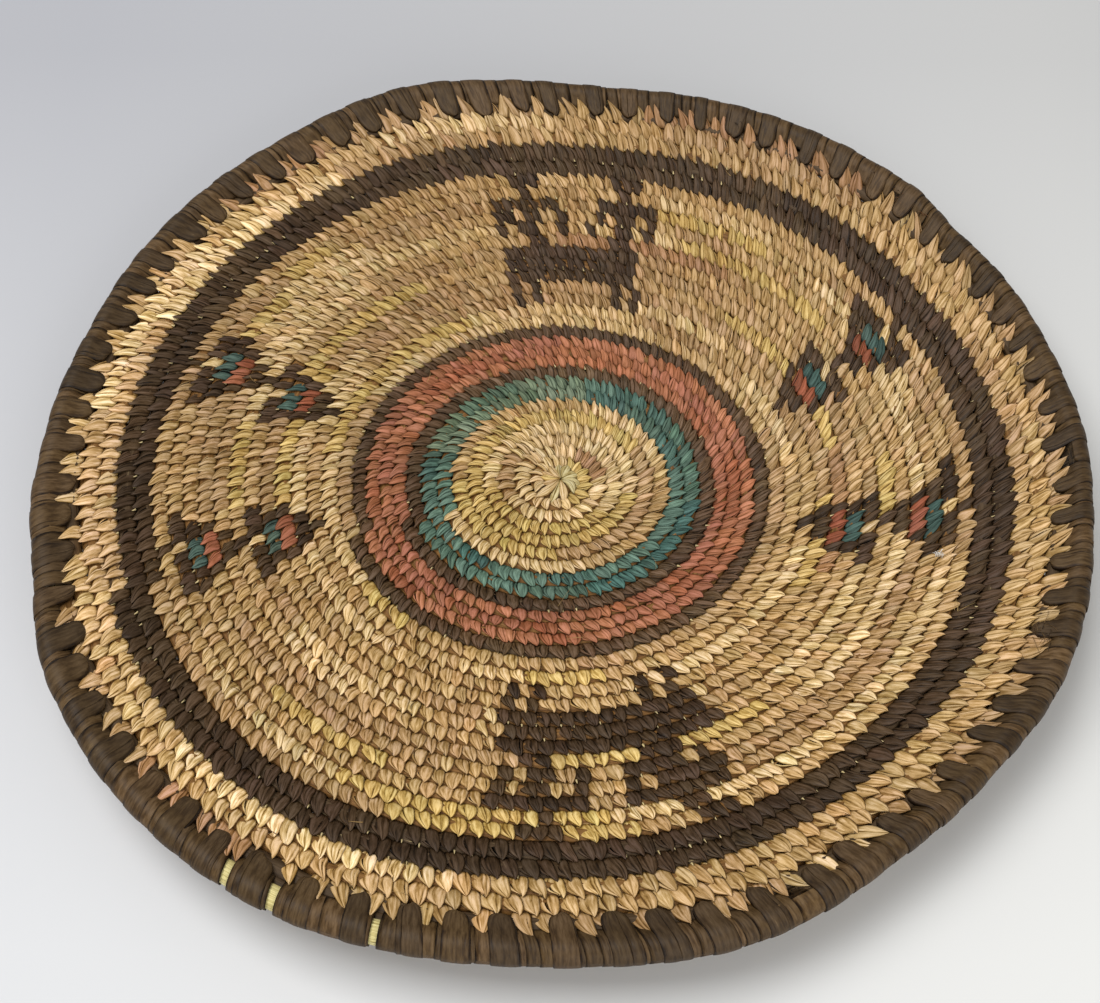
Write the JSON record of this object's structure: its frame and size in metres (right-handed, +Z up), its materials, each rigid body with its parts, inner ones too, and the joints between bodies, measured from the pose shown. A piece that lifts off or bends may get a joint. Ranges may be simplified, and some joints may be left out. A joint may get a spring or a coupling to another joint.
{
  "type": "coiled grass tray",
  "caption": "Shallow round tray sewn from one coiled grass bundle, with coloured rings, sewn figures and a wrapped dark rim with long stitches.",
  "frame": {"origin": "centre of the coil on the flat underside that the tray stands on", "axes": "+Z up out of the dish, +Y towards the far rim of the picture, +X to its right"},
  "size_m": [0.3567, 0.3557, 0.0301],
  "materials": {
    "natural_strip": "dry split leaf strips, satin, tan to pale yellow",
    "teal_strip": "dyed leaf strips, dull teal",
    "dark_strip": "dyed leaf strips, near-black brown, dull",
    "rust_strip": "dyed leaf strips, rust red, dull",
    "bare_straw": "bare grass bundle, pale straw",
    "rim_strip": "wide dyed leaf strips, dark olive brown, satin"
  },
  "bodies": {
    "root": {"start_knot": "natural_strip", "centre_coil": "natural_strip", "teal_ring": "teal_strip", "inner_dark_ring": "dark_strip", "rust_ring": "rust_strip", "outer_dark_ring": "dark_strip", "natural_field": "natural_strip", "dark_double_ring": "dark_strip", "natural_border": "natural_strip", "rim_foundation": "bare_straw", "rim_wrapping_01": "rim_strip", "rim_wrapping_02": "rim_strip", "rim_wrapping_03": "rim_strip", "rim_wrapping_04": "rim_strip", "rim_wrapping_05": "rim_strip", "rim_wrapping_06": "rim_strip", "rim_wrapping_07": "rim_strip", "rim_wrapping_08": "rim_strip", "rim_wrapping_09": "rim_strip", "rim_wrapping_10": "rim_strip", "rim_wrapping_11": "rim_strip", "rim_wrapping_12": "rim_strip", "rim_wrapping_13": "rim_strip", "rim_wrapping_14": "rim_strip", "rim_wrapping_15": "rim_strip"}
  },
  "joints": []
}
